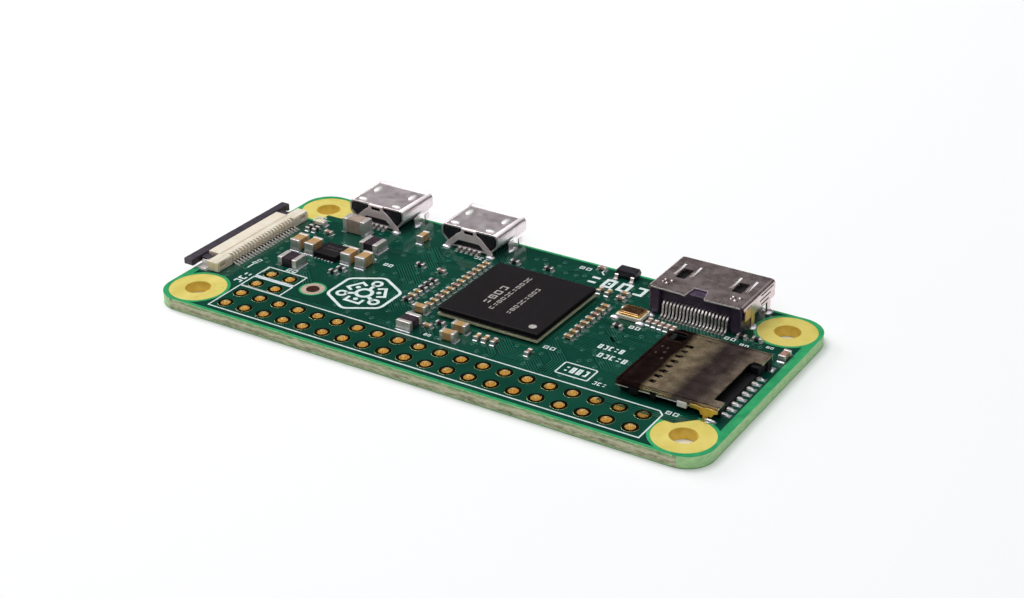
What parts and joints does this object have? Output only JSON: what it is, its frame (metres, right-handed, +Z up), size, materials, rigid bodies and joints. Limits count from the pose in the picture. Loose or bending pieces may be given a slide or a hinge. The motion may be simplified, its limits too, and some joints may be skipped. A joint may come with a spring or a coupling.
{
  "type": "single board computer",
  "caption": "Small bare circuit board computer with an unpopulated pin header pattern, two small data and power ports, a video port, a card socket and a camera ribbon connector.",
  "frame": {"origin": "middle of the board's underside, on the centre of the four mounting holes", "axes": "+X along the long side towards the card socket, +Y along the short side towards the ports, +Z up out of the component side"},
  "size_m": [0.0661, 0.0313, 0.0045],
  "materials": {
    "solder_mask": "gloss green mask over glass laminate, with pale traces and white printing",
    "cream_plastic": "moulded, cream",
    "black_plastic": "moulded, black",
    "bright_metal": "bright plated sheet steel",
    "dark_metal": "stainless sheet, mirroring dark surroundings",
    "gold": "gold plated",
    "tin": "tin plated",
    "substrate": "pale laminate edge",
    "mould": "black moulding compound",
    "tan_ceramic": "tan ceramic with tinned ends",
    "brown_ceramic": "brown ceramic with tinned ends",
    "dark_ferrite": "dark ferrite with tinned ends",
    "light_lens": "milky resin with tinned ends"
  },
  "bodies": {
    "board": {"circuit_board": "solder_mask", "activity_light": "light_lens", "bulk_capacitor": "brown_ceramic", "camera_connector_contacts": "tin", "camera_connector_housing": "cream_plastic", "camera_connector_nail_far": "tin", "camera_connector_nail_near": "tin", "card_detect_spring": "gold", "card_socket_base": "black_plastic", "card_socket_contacts": "tin", "card_socket_cover": "dark_metal", "crystal_base": "brown_ceramic", "crystal_lid": "gold", "data_port_contacts": "tin", "data_port_insulator": "black_plastic", "data_port_shell": "bright_metal", "decoupling_capacitor_left_01": "tan_ceramic", "decoupling_capacitor_left_02": "tan_ceramic", "decoupling_capacitor_left_03": "tan_ceramic", "decoupling_capacitor_left_04": "tan_ceramic", "decoupling_capacitor_left_05": "tan_ceramic", "decoupling_capacitor_left_06": "tan_ceramic", "decoupling_capacitor_left_07": "tan_ceramic", "decoupling_capacitor_left_08": "tan_ceramic", "decoupling_capacitor_left_09": "tan_ceramic", "decoupling_capacitor_left_10": "tan_ceramic", "decoupling_capacitor_left_11": "tan_ceramic", "decoupling_capacitor_right_01": "tan_ceramic", "decoupling_capacitor_right_02": "tan_ceramic", "decoupling_capacitor_right_03": "tan_ceramic", "decoupling_capacitor_right_04": "tan_ceramic", "decoupling_capacitor_right_05": "tan_ceramic", "decoupling_capacitor_right_06": "tan_ceramic", "decoupling_capacitor_right_07": "tan_ceramic", "decoupling_capacitor_right_08": "tan_ceramic", "memory_package": "mould", "memory_substrate": "mould", "port_capacitor": "tan_ceramic", "power_port_contacts": "tin", "power_port_insulator": "black_plastic", "power_port_shell": "bright_metal", "power_regulator": "mould", "processor_capacitor_1": "tan_ceramic", "processor_capacitor_2": "tan_ceramic", "processor_capacitor_3": "tan_ceramic", "processor_die": "mould", "processor_inductor": "dark_ferrite", "processor_substrate": "substrate", "protection_diode": "black_plastic", "regulator_capacitor_1": "tan_ceramic", "regulator_capacitor_2": "tan_ceramic", "regulator_capacitor_3": "tan_ceramic", "regulator_capacitor_4": "tan_ceramic", "regulator_inductor_1": "dark_ferrite", "regulator_inductor_2": "dark_ferrite", "socket_capacitor": "tan_ceramic", "video_port_contacts": "tin", "video_port_insulator": "black_plastic", "video_port_shell": "dark_metal"},
    "latch": {"camera_connector_latch": "black_plastic"}
  },
  "joints": [
    {"name": "latch_slide", "type": "slide", "parent": "board", "child": "latch", "axis": [-1, 0, 0], "range_m": [0, 0.0012]}
  ]
}
